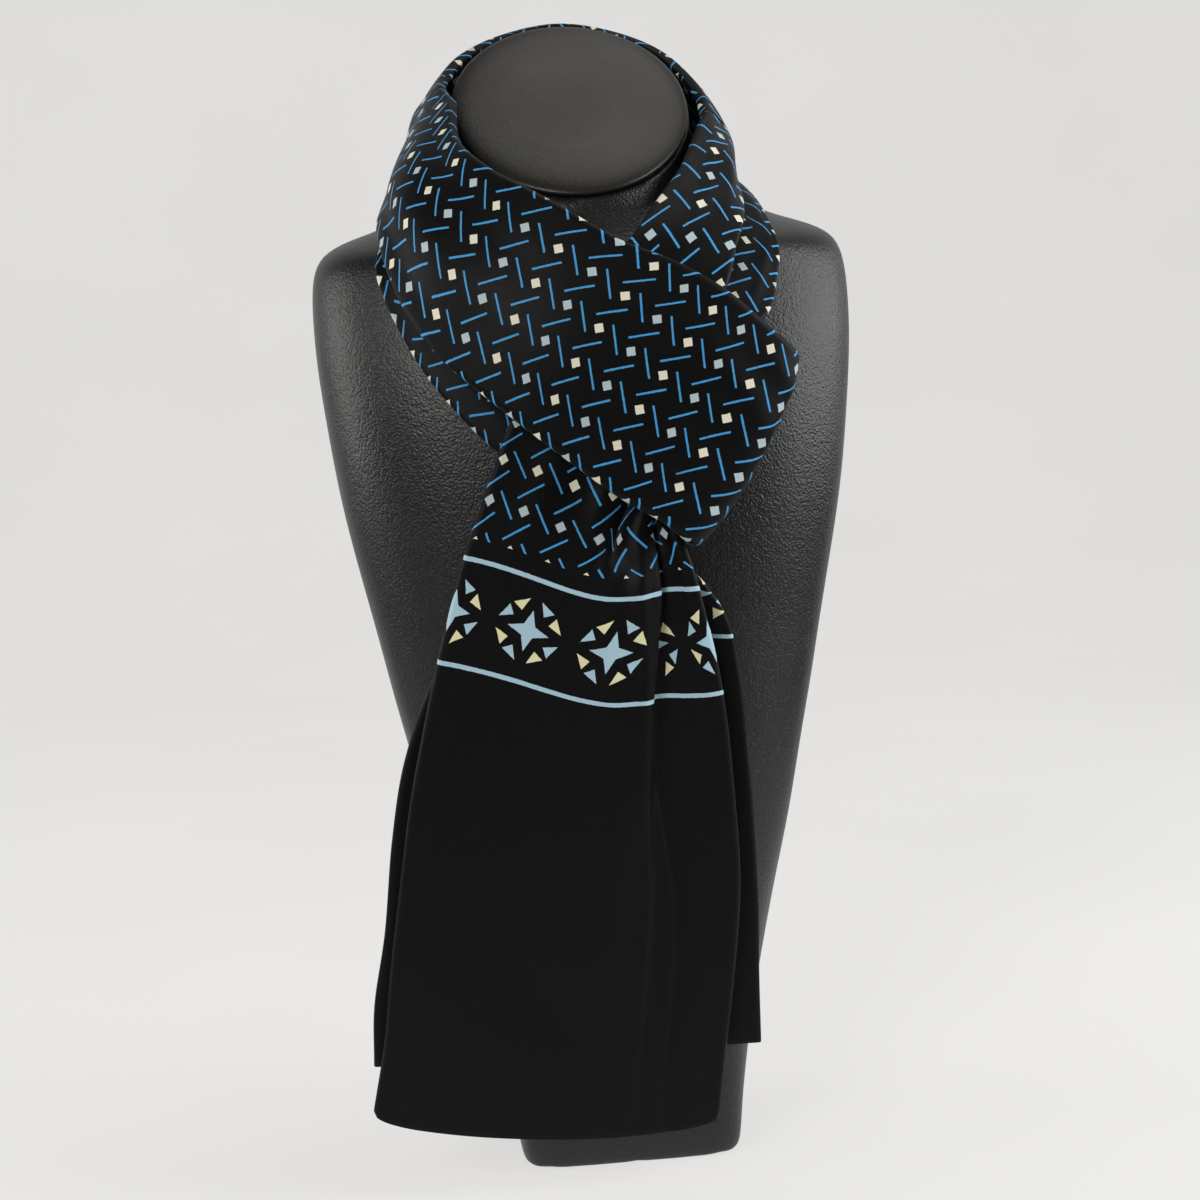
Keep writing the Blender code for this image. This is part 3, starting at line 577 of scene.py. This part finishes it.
def printed_satin(name, bordered):
    """Printed polyester satin: long floats woven on one face, dyed black, the motifs printed on it.
    The floats give a soft sheen at glancing angles and a fine line along the weave."""
    material, tree, shader = new_material(name)
    place = add(tree, "UVMap", uv_map="flat_cloth").outputs[0]
    # ink edges wander by a tenth of a millimetre or so
    wander = add(tree, "TexNoise", {"Vector": place, "Scale": 900.0, "Detail": 1.0})
    shift = add(tree, "VectorMath", {0: wander.outputs["Color"], 1: (0.5, 0.5, 0.5)},
                operation="SUBTRACT")
    shift = add(tree, "VectorMath", {0: shift.outputs[0], "Scale": 0.35 * MM}, operation="SCALE")
    place_mm = add(tree, "VectorMath", {0: place, 1: shift.outputs[0]}, operation="ADD").outputs[0]
    place_mm = add(tree, "VectorMath", {0: place_mm, "Scale": 1 / MM}, operation="SCALE").outputs[0]
    lattice = add(tree, "VectorMath", {0: place_mm, "Scale": 1 / PRINT_PITCH},
                  operation="SCALE").outputs[0]

    def near(offset):
        """Across and along from the closest point of the lattice moved by offset."""
        moved = add(tree, "VectorMath", {0: lattice, 1: offset}, operation="ADD").outputs[0]
        cell = add(tree, "VectorMath", {0: moved, 1: (0.5, 0.5, 0.5), 2: (-0.5, -0.5, -0.5)},
                   operation="WRAP")
        parts = add(tree, "SeparateXYZ", {0: cell.outputs[0]})
        both = add(tree, "Math", {0: parts.outputs[0], 1: parts.outputs[1]},
                   operation="ADD").outputs[0]
        apart = add(tree, "Math", {0: parts.outputs[0], 1: parts.outputs[1]},
                    operation="SUBTRACT").outputs[0]
        both = add(tree, "Math", {0: both}, operation="ABSOLUTE").outputs[0]
        apart = add(tree, "Math", {0: apart}, operation="ABSOLUTE").outputs[0]
        return both, apart

    def block(pair, half_both, half_apart):
        """One where a point lies within the two half sizes, in mm, of a turned block."""
        limits = [half * sqrt(2) / PRINT_PITCH for half in (half_both, half_apart)]
        inside = [add(tree, "Math", {0: value, 1: limit}, operation="LESS_THAN").outputs[0]
                  for value, limit in zip(pair, limits)]
        return add(tree, "Math", {0: inside[0], 1: inside[1]}, operation="MULTIPLY").outputs[0]

    squares = block(near((0, 0, 0)), SQUARE_SIDE / 2, SQUARE_SIDE / 2)
    dashes_across = block(near((0.5, 0, 0)), DASH_WIDTH / 2, DASH_LENGTH / 2)
    dashes_along = block(near((0, 0.5, 0)), DASH_LENGTH / 2, DASH_WIDTH / 2)
    dashes = add(tree, "Math", {0: dashes_across, 1: dashes_along}, operation="MAXIMUM").outputs[0]

    sides = add(tree, "SeparateXYZ", {0: place_mm})
    across_mm, along_mm = sides.outputs[0], sides.outputs[1]
    row = add(tree, "Math", {0: along_mm, 1: 1 / PRINT_PITCH, 2: 0.5},
              operation="MULTIPLY_ADD").outputs[0]
    row = add(tree, "Math", {0: row, 1: 0.0, 2: 2.0}, operation="WRAP").outputs[0]
    cream_row = add(tree, "Math", {0: row, 1: 1.0}, operation="LESS_THAN").outputs[0]
    square_colour = add(tree, "Mix", {0: cream_row, 6: linear(BLUE_GREY), 7: linear(CREAM)},
                        data_type="RGBA")

    black = linear(SATIN_BLACK)
    colour = add(tree, "Mix", {0: dashes, 6: black, 7: linear(DASH_BLUE)},
                 data_type="RGBA").outputs[2]
    colour = add(tree, "Mix", {0: squares, 6: colour, 7: square_colour.outputs[2]},
                 data_type="RGBA").outputs[2]
    ink = add(tree, "Math", {0: dashes, 1: squares}, operation="MAXIMUM").outputs[0]
    if bordered:
        before_end = add(tree, "Math", {0: along_mm, 1: PRINT_END},
                         operation="LESS_THAN").outputs[0]
        colour = add(tree, "Mix", {0: before_end, 6: black, 7: colour}, data_type="RGBA").outputs[2]
        ink = add(tree, "Math", {0: ink, 1: before_end}, operation="MULTIPLY").outputs[0]
        for line in (LINE_UPPER, LINE_LOWER):
            on_line = add(tree, "Math", {0: along_mm, 1: line, 2: LINE_WIDTH / 2},
                          operation="COMPARE").outputs[0]
            colour = add(tree, "Mix", {0: on_line, 6: colour, 7: linear(BORDER_BLUE)},
                         data_type="RGBA").outputs[2]
            ink = add(tree, "Math", {0: ink, 1: on_line}, operation="MAXIMUM").outputs[0]
        colour, ink = add_stars(tree, across_mm, along_mm, colour, ink)

    # satin floats, drawn 0.5 mm apart so that they just show, and a faint slub
    floats = add(tree, "VectorMath", {0: place_mm, 1: (2.0, 0.12, 0.0)},
                 operation="MULTIPLY").outputs[0]
    weave = add(tree, "TexNoise", {"Vector": floats, "Scale": 1.0, "Detail": 2.0}).outputs["Fac"]
    cloth_part = add(tree, "Math", {0: 1.0, 1: ink}, operation="SUBTRACT").outputs[0]
    glow = add(tree, "MapRange", {0: weave, 1: 0.3, 2: 0.7, 3: 0.75, 4: 1.35}).outputs[0]
    glow = add(tree, "Mix", {0: cloth_part, 2: 1.0, 3: glow}, data_type="FLOAT").outputs[0]
    shade = add(tree, "VectorMath", {0: colour, "Scale": glow}, operation="SCALE").outputs[0]
    tree.links.new(shade, shader.inputs["Base Color"])
    rough = add(tree, "MapRange", {0: weave, 1: 0.3, 2: 0.7, 3: 0.46, 4: 0.58}).outputs[0]
    tree.links.new(rough, shader.inputs["Roughness"])
    bump = add(tree, "Bump", {"Strength": 0.25, "Distance": 0.08 * MM, "Height": weave}).outputs[0]
    tree.links.new(bump, shader.inputs["Normal"])
    shader.inputs["Specular IOR Level"].default_value = 0.13
    shader.inputs["Sheen Weight"].default_value = 0.05
    shader.inputs["Sheen Roughness"].default_value = 0.35
    shader.inputs["Sheen Tint"].default_value = (0.75, 0.8, 0.9, 1.0)
    return material


def at_angle(radius, degrees):
    """A corner of the star or its ring, by its distance and its turn from the nearest axis."""
    return radius * cos(radians(degrees)), radius * sin(radians(degrees))


def add_stars(tree, across_mm, along_mm, colour, ink):
    """A row of four-pointed stars between the border's lines, each in a ring of eight triangles."""
    middle = (LINE_UPPER + LINE_LOWER) / 2
    half = STAR_PITCH / 2
    x = add(tree, "Math", {0: across_mm, 1: STAR_SHIFT}, operation="ADD").outputs[0]
    x = add(tree, "Math", {0: x, 1: half, 2: -half}, operation="WRAP").outputs[0]
    y = add(tree, "Math", {0: along_mm, 1: middle}, operation="SUBTRACT").outputs[0]
    ax = add(tree, "Math", {0: x}, operation="ABSOLUTE").outputs[0]
    ay = add(tree, "Math", {0: y}, operation="ABSOLUTE").outputs[0]
    low = add(tree, "Math", {0: ax, 1: ay}, operation="MINIMUM").outputs[0]
    high = add(tree, "Math", {0: ax, 1: ay}, operation="MAXIMUM").outputs[0]

    def within(corner0, corner1):
        """One on the middle's side of the line through two corners, given as (high, low)."""
        (h0, l0), (h1, l1) = corner0, corner1
        slope_h = l1 - l0
        slope_l = h0 - h1
        limit = h0 * slope_h + l0 * slope_l
        sign = 1 if limit > 0 else -1
        part = add(tree, "Math", {0: high, 1: slope_h * sign}, operation="MULTIPLY").outputs[0]
        total = add(tree, "Math", {0: low, 1: slope_l * sign, 2: part},
                    operation="MULTIPLY_ADD").outputs[0]
        return add(tree, "Math", {0: total, 1: limit * sign}, operation="LESS_THAN").outputs[0]

    star = within((STAR_TIP, 0.0), at_angle(STAR_NOTCH, 45))
    tip, side, foot = at_angle(RAY_TIP, 10.5), at_angle(RAY_SIDE, 41), at_angle(RAY_FOOT, 32)
    outer = within(tip, side)
    past_foot = [within(tip, foot), within(foot, side)]
    beyond = [add(tree, "Math", {0: 1.0, 1: value}, operation="SUBTRACT").outputs[0]
              for value in past_foot]
    ray = add(tree, "Math", {0: outer, 1: beyond[0]}, operation="MULTIPLY").outputs[0]
    ray = add(tree, "Math", {0: ray, 1: beyond[1]}, operation="MULTIPLY").outputs[0]

    # clockwise in each quarter, a blue triangle and then a cream one
    turned = add(tree, "Math", {0: x, 1: y}, operation="MULTIPLY").outputs[0]
    turned = add(tree, "Math", {0: turned, 1: 0.0}, operation="GREATER_THAN").outputs[0]
    steep = add(tree, "Math", {0: ay, 1: ax}, operation="GREATER_THAN").outputs[0]
    blue = add(tree, "Math", {0: turned, 1: steep, 2: 0.1}, operation="COMPARE").outputs[0]
    rays = add(tree, "Mix", {0: blue, 6: linear(CREAM_RAY), 7: linear(BORDER_BLUE)},
               data_type="RGBA").outputs[2]
    colour = add(tree, "Mix", {0: star, 6: colour, 7: linear(BORDER_BLUE)},
                 data_type="RGBA").outputs[2]
    colour = add(tree, "Mix", {0: ray, 6: colour, 7: rays}, data_type="RGBA").outputs[2]
    ink = add(tree, "Math", {0: ink, 1: star}, operation="MAXIMUM").outputs[0]
    ink = add(tree, "Math", {0: ink, 1: ray}, operation="MAXIMUM").outputs[0]
    return colour, ink


NECK_FROM = 0.45          # heights in metres between which the vinyl tightens over the neck
NECK_UP = 0.47
TIGHT_GRAIN = 0.3         # how much of the pebble grain stays where the vinyl is pulled tight


def leatherette(name, colour, painted_highlight, grain):
    """PVC leatherette: a soft vinyl skin embossed with a fine pebble grain. The pebbles catch the
    light one by one through their bump where the lamps fall on it. Their tops are also painted
    lighter, a painted highlight that greys the black all over."""
    material, tree, shader = new_material(name)
    place = add(tree, "TexCoord").outputs["Object"]
    drift = add(tree, "TexNoise", {"Vector": place, "Scale": 240.0, "Detail": 2.0})
    bend = add(tree, "VectorMath", {0: drift.outputs["Color"], "Scale": 1.1 * MM},
               operation="SCALE").outputs[0]
    bent = add(tree, "VectorMath", {0: place, 1: bend}, operation="ADD").outputs[0]
    # pebbles 1 mm across, and shallow wrinkles 4 mm apart
    pebbles = add(tree, "TexVoronoi", {"Vector": bent, "Scale": 950.0},
                  feature="SMOOTH_F1").outputs["Distance"]
    wrinkles = add(tree, "TexNoise", {"Vector": bent, "Scale": 250.0, "Detail": 2.0}).outputs["Fac"]
    height = add(tree, "Math", {0: pebbles, 1: -1.6, 2: wrinkles},
                 operation="MULTIPLY_ADD").outputs[0]
    up = add(tree, "SeparateXYZ", {0: place}).outputs[2]
    pulled = add(tree, "MapRange", {0: up, 1: NECK_FROM, 2: NECK_UP, 3: grain, 4: TIGHT_GRAIN})
    pulled = pulled.outputs[0]
    bump = add(tree, "Bump", {"Strength": pulled, "Distance": 0.16 * MM, "Height": height})
    tree.links.new(bump.outputs[0], shader.inputs["Normal"])
    patches = add(tree, "TexNoise", {"Vector": place, "Scale": 14.0, "Detail": 3.0}).outputs["Fac"]
    rough = add(tree, "MapRange", {0: patches, 1: 0.3, 2: 0.7, 3: 0.38, 4: 0.47}).outputs[0]
    tree.links.new(rough, shader.inputs["Roughness"])
    # painted highlight: the tops of the pebbles get the lighter colour, standing in for the light
    # they catch
    painted_highlight_mask = add(tree, "MapRange", {0: pebbles, 1: 0.1, 2: 0.7, 3: 1.0, 4: 0.0}).outputs[0]
    shade = add(tree, "Mix", {0: painted_highlight_mask, 6: linear(colour), 7: linear(painted_highlight)},
                data_type="RGBA").outputs[2]
    tree.links.new(shade, shader.inputs["Base Color"])
    shader.inputs["IOR"].default_value = 1.5
    return material


PAPER_BASE = 0.28         # share of the paper's colour that answers the lamps
PAPER_GLOW = 0.80         # the rest of its light, even all over


def matt_paper():
    """Seamless background paper: matt, almost white, with a very slight cloudiness."""
    material, tree, shader = new_material("background_paper")
    place = add(tree, "TexCoord").outputs["Object"]
    clouds = add(tree, "TexNoise", {"Vector": place, "Scale": 3.0, "Detail": 2.0}).outputs["Fac"]
    shade = add(tree, "Mix", {0: clouds, 6: linear("#e2e1df"), 7: linear("#e8e7e6")},
                data_type="RGBA").outputs[2]
    dimmed = add(tree, "VectorMath", {0: shade, "Scale": PAPER_BASE}, operation="SCALE").outputs[0]
    tree.links.new(dimmed, shader.inputs["Base Color"])
    tree.links.new(shade, shader.inputs["Emission Color"])
    shader.inputs["Emission Strength"].default_value = PAPER_GLOW
    shader.inputs["Roughness"].default_value = 0.9
    shader.inputs["Specular IOR Level"].default_value = 0.1
    return material


# ---- The bust ----

FOOT_TOP = 0.10           # below this height the foot's corners are squarer than the solid's
FOOT_HALF = (0.0555, 0.0435)      # half width and half depth of the foot
FOOT_OVAL = 3.3           # power of the solid's rounded outline
FOOT_BOX = 8              # power of the squarer outline at the floor
FOOT_TRIM = 0.04          # part taken off the right half at the floor
CAP_MIDDLE = Vector((0, 0.023, 0.495))
CAP_DEPTH = 0.055         # half depth, half rise and half width of the slanted cap
CAP_RISE = 0.048
CAP_WIDTH = 0.057
CAP_PAD_FROM = 0.003      # height above the neck's cut where the padding begins
# Rings of the cap: part of its radius in the solid, and here, and height above the neck
CAP_PAD = [
    (0.982, 0.972, 0.0034),
    (0.954, 0.912, 0.0046),
    (0.65, 0.80, 0.0055),
    (0.3, 0.587, 0.0061),
]


def square_foot(shaper):
    """Fill out the corners of the bust's foot, most at the floor, and trim its right side."""
    for vert in shaper.verts:
        if vert.co.z < FOOT_TOP:
            low = 1 - vert.co.z / FOOT_TOP
            across = abs(vert.co.x) / FOOT_HALF[0]
            deep = abs(vert.co.y) / FOOT_HALF[1]
            oval = (across ** FOOT_OVAL + deep ** FOOT_OVAL) ** (1 / FOOT_OVAL)
            box = (across ** FOOT_BOX + deep ** FOOT_BOX) ** (1 / FOOT_BOX)
            grow = 1 + (oval / max(box, 1e-6) - 1) * low
            trim = 1 - FOOT_TRIM * low if vert.co.x > 0 else 1.0
            vert.co.x *= grow * trim
            vert.co.y *= grow


def pad_cap(shaper):
    """Give the cap the rounded rim and low dome of a thin padded disc."""
    slope = Vector((0, CAP_DEPTH, CAP_RISE)).normalized()
    normal = Vector((0, -slope.z, slope.y))
    for vert in shaper.verts:
        height = (vert.co - CAP_MIDDLE).dot(normal)
        if height > CAP_PAD_FROM:
            flat = vert.co - CAP_MIDDLE - normal * height
            part = hypot(flat.x / CAP_WIDTH, flat.dot(slope) / hypot(CAP_DEPTH, CAP_RISE))
            old, new, rise = min(CAP_PAD, key=lambda ring: abs(ring[0] - part))
            vert.co = CAP_MIDDLE + flat * (new / old) + normal * rise


def smooth_copy(node, name, material, reshape, levels, sharp):
    """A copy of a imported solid, reshaped, with its triangles joined to quads and rounded by
    subdivision. Edges that bend more than sharp degrees stay crisp."""
    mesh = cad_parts[node].data.copy()
    mesh.name = name
    shaper = bmesh.new()
    shaper.from_mesh(mesh)
    bmesh.ops.remove_doubles(shaper, verts=shaper.verts, dist=0.02 * MM)
    reshape(shaper)
    bmesh.ops.join_triangles(shaper, faces=shaper.faces, angle_face_threshold=radians(30),
                             angle_shape_threshold=radians(50))
    crease = shaper.edges.layers.float.new("crease_edge")
    for edge in shaper.edges:
        if len(edge.link_faces) == 2 and edge.calc_face_angle() > radians(sharp):
            edge[crease] = 0.75
    shaper.to_mesh(mesh)
    shaper.free()
    for face in mesh.polygons:
        face.use_smooth = True
    mesh.materials.clear()
    mesh.materials.append(material)
    piece = bpy.data.objects.new(name, mesh)
    bpy.context.scene.collection.objects.link(piece)
    rounding = piece.modifiers.new("rounding", "SUBSURF")
    rounding.levels = levels
    rounding.render_levels = levels
    return piece


# the second colour of each leatherette is the painted highlight on its pebble tops
bust_skin = leatherette("vinyl_leatherette_black", "#0d0d0d", "#1a1a1a", 1.0)
cap_skin = leatherette("vinyl_leatherette_cap", "#14110b", "#211e17", TIGHT_GRAIN)
bust = smooth_copy("form_body", "bust_body", bust_skin, square_foot, 2, 50)
cap = smooth_copy("form_neck_cap", "bust_neck_cap", cap_skin, pad_cap, 3, 70)
for piece, node, slot in ((bust, "form_body", "bust_leatherette"),
                          (cap, "form_neck_cap", "cap_leatherette")):
    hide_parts(node)
    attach(piece, "root")

# ---- The scarf ----

lattice_satin = printed_satin("printed_satin_lattice", bordered=False)
border_satin = printed_satin("printed_satin_border", bordered=True)
for name, rows, before, after, side in STRETCHES:
    hangs = name.startswith("tail")
    satin = border_satin if hangs else lattice_satin
    cloth, flat_width, flat_length = build_cloth(name, rows, before, after, side, satin)
    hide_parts(name)
    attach(cloth, "root")

# ---- Background, light and camera ----

PAPER_RADIUS = 2.6
PAPER_SWEEP = 1.1
PAPER_HEIGHT = 2.8
PAPER_MIDDLE = 0.55       # radius of the lit floor under the bust
PAPER_OPEN = 0.85         # slope, seen from above, of the edges of the lit part behind it
FLOOR_MIDDLE = 0.1        # a face whose middle is nearer than this is the lit floor

paper = matt_paper()
bpy.ops.object.select_all(action="DESELECT")
bpy.ops.mesh.primitive_circle_add(vertices=64, radius=PAPER_RADIUS, fill_type="NGON",
                                  location=(0, 0, 0))
backdrop = bpy.context.object
backdrop.name = "background_sheet"
bpy.ops.object.mode_set(mode="EDIT")
bpy.ops.mesh.select_all(action="SELECT")
bpy.ops.mesh.inset(thickness=PAPER_SWEEP)
bpy.ops.mesh.inset(thickness=PAPER_RADIUS - PAPER_SWEEP - PAPER_MIDDLE)
bpy.ops.mesh.select_all(action="DESELECT")
bpy.ops.object.mode_set(mode="OBJECT")
rim = PAPER_RADIUS * 0.99
for edge in backdrop.data.edges:
    edge.select = all(backdrop.data.vertices[v].co.length > rim for v in edge.vertices)
bpy.ops.object.mode_set(mode="EDIT")
bpy.ops.mesh.extrude_region_move(TRANSFORM_OT_translate={"value": (0, 0, PAPER_HEIGHT)})
bpy.ops.object.mode_set(mode="OBJECT")
bend = backdrop.modifiers.new("bend", "BEVEL")
bend.width = PAPER_SWEEP * 0.95
bend.segments = 14
bend.limit_method = "ANGLE"
bend.angle_limit = radians(60)
bpy.ops.object.modifier_apply(modifier="bend")
bpy.ops.object.shade_smooth()
backdrop.data.materials.append(paper)
# the parts of the sheet to the sides and behind the camera stand for a dim room: they neither light
# the object nor are mirrored in it
for face in backdrop.data.polygons:
    middle = face.center.xy
    face.select = middle.length > FLOOR_MIDDLE and middle.y < abs(middle.x) * PAPER_OPEN
bpy.ops.object.mode_set(mode="EDIT")
bpy.ops.mesh.separate(type="SELECTED")
bpy.ops.object.mode_set(mode="OBJECT")
near_part = [item for item in bpy.context.selected_objects if item != backdrop][0]
near_part.name = "background_near"
near_part.visible_diffuse = False
near_part.visible_glossy = False
near_part.visible_shadow = False

world = bpy.data.worlds.new("soft_room")
world.use_nodes = True
world.node_tree.nodes["Background"].inputs["Color"].default_value = (0.93, 0.95, 1.0, 1.0)
world.node_tree.nodes["Background"].inputs["Strength"].default_value = 0.01
bpy.context.scene.world = world


def soft_lamp(name, place, aim, size, power, colour):
    """A wide soft lamp, in metres and watts, turned to its aim."""
    lamp = bpy.data.lights.new(name, "AREA")
    lamp.shape = "RECTANGLE"
    lamp.size, lamp.size_y = size
    lamp.energy = power
    lamp.color = colour
    holder = bpy.data.objects.new(name, lamp)
    holder.location = place
    holder.rotation_euler = (Vector(aim) - Vector(place)).to_track_quat("-Z", "Y").to_euler()
    bpy.context.scene.collection.objects.link(holder)


WARM_DAYLIGHT = (1.0, 0.99, 0.97)
COOL_DAYLIGHT = (0.98, 0.99, 1.0)
WARM_CEILING = (1.0, 0.99, 0.96)
soft_lamp("window_left", (-1.4, 0.1, 0.6), (0, 0, 0.35), (0.7, 0.9), 9.5, WARM_DAYLIGHT)
soft_lamp("window_front", (-0.9, -1.5, 1.0), (0, 0, 0.3), (0.7, 0.9), 18, WARM_DAYLIGHT)
soft_lamp("window_right", (1.25, -0.5, 0.8), (0, 0, 0.3), (0.6, 1.3), 15, COOL_DAYLIGHT)
soft_lamp("window_right_back", (1.4, 0.2, 0.6), (0, 0, 0.35), (0.7, 0.8), 7, COOL_DAYLIGHT)
soft_lamp("ceiling", (0.25, 0.25, 1.8), (0, 0, 0.2), (1.0, 0.9), 3.8, WARM_CEILING)

CAMERA_PLACE = Vector((-0.0686, -0.8974, 0.353))
CAMERA_AIM = Vector((0.0001, 0.0, 0.262))
CAMERA_ROLL = 3.16        # degrees, clockwise
FOCAL_LENGTH = 56.85      # mm on a 36 mm wide sensor
view_line = (CAMERA_AIM - CAMERA_PLACE).normalized()
level = view_line.cross(Vector((0, 0, 1))).normalized()
upward = level.cross(view_line)
tilt = radians(CAMERA_ROLL)
camera_right = level * cos(tilt) - upward * sin(tilt)
camera_up = upward * cos(tilt) + level * sin(tilt)
bpy.context.scene.view_settings.view_transform = "Standard"
camera = bpy.data.objects.new("camera", bpy.data.cameras.new("camera"))
camera.data.lens = FOCAL_LENGTH
camera.data.sensor_width = 36
camera.matrix_world = Matrix((
    (camera_right.x, camera_up.x, -view_line.x, CAMERA_PLACE.x),
    (camera_right.y, camera_up.y, -view_line.y, CAMERA_PLACE.y),
    (camera_right.z, camera_up.z, -view_line.z, CAMERA_PLACE.z),
    (0, 0, 0, 1),
))
bpy.context.scene.collection.objects.link(camera)
bpy.context.scene.camera = camera
